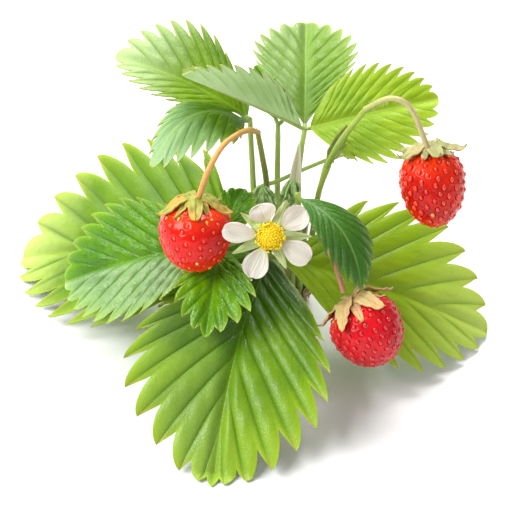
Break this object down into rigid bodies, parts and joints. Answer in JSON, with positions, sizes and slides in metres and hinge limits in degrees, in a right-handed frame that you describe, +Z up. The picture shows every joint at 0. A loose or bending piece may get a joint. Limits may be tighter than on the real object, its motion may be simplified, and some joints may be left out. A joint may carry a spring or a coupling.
{
  "type": "wild strawberry sprig",
  "caption": "Cut sprig of wild strawberry: red berries and a white flower on arching stalks above toothed three-part leaves, standing on its spread lower leaves.",
  "frame": {"origin": "middle of the sprig's footprint, on the surface that it stands on", "axes": "+X to the right along the width, +Y to the back, +Z up"},
  "size_m": [0.0966, 0.0822, 0.0619],
  "materials": {
    "berry": "wet gloss over a soft red flesh",
    "calyx": "dry matte, tan to pale green",
    "leaf_a": "satin, fresh green",
    "leaf_b": "satin with a waxy sheen",
    "leaf_c": "satin, light green",
    "leaf_d": "satin, light green",
    "leaf_e": "silky, dark bluish green",
    "leaf_f": "satin, green",
    "petal": "soft matte white",
    "sepals": "matte green",
    "dome": "grainy matte yellow",
    "stamens": "matte yellow",
    "stalk": "downy, pale green to olive",
    "crown": "rough brown scales",
    "bud": "downy, dark green",
    "stipule": "papery, pale",
    "bract": "satin, pale green"
  },
  "bodies": {
    "root": {"berry_1": "berry", "berry_2": "berry", "berry_3": "berry", "calyx_1": "calyx", "calyx_2": "calyx", "calyx_3": "calyx", "leaf_a_front": "leaf_a", "leaf_a_right": "leaf_a", "leaf_a_left": "leaf_a", "leaf_b_left": "leaf_b", "leaf_b_front": "leaf_b", "leaf_b_back": "leaf_b", "leaf_c_left": "leaf_c", "leaf_c_front": "leaf_c", "leaf_c_back": "leaf_c", "leaf_d_back": "leaf_d", "leaf_d_right": "leaf_d", "leaf_d_left": "leaf_d", "leaf_e_young": "leaf_e", "leaf_f_left": "leaf_f", "leaf_f_right": "leaf_f", "petal_left": "petal", "petal_top": "petal", "petal_upper_right": "petal", "petal_lower_right": "petal", "petal_lower_left": "petal", "flower_calyx": "sepals", "flower_dome": "dome", "flower_stamens": "stamens", "petiole_a": "stalk", "petiole_b": "stalk", "petiole_c": "stalk", "petiole_d": "stalk", "petiole_e": "stalk", "petiole_f": "stalk", "side_stalk": "stalk", "pedicel": "stalk", "bud_stalk": "stalk", "peduncle_1_rise": "stalk", "peduncle_1_arch": "stalk", "peduncle_2_foot": "stalk", "peduncle_2_rise": "stalk", "peduncle_2_arch": "stalk", "peduncle_3": "stalk", "crown": "crown", "bud_leaf_left": "bud", "bud_leaf_right": "bud", "side_bud": "bud", "stipule": "stipule", "bract": "bract"}
  },
  "joints": []
}
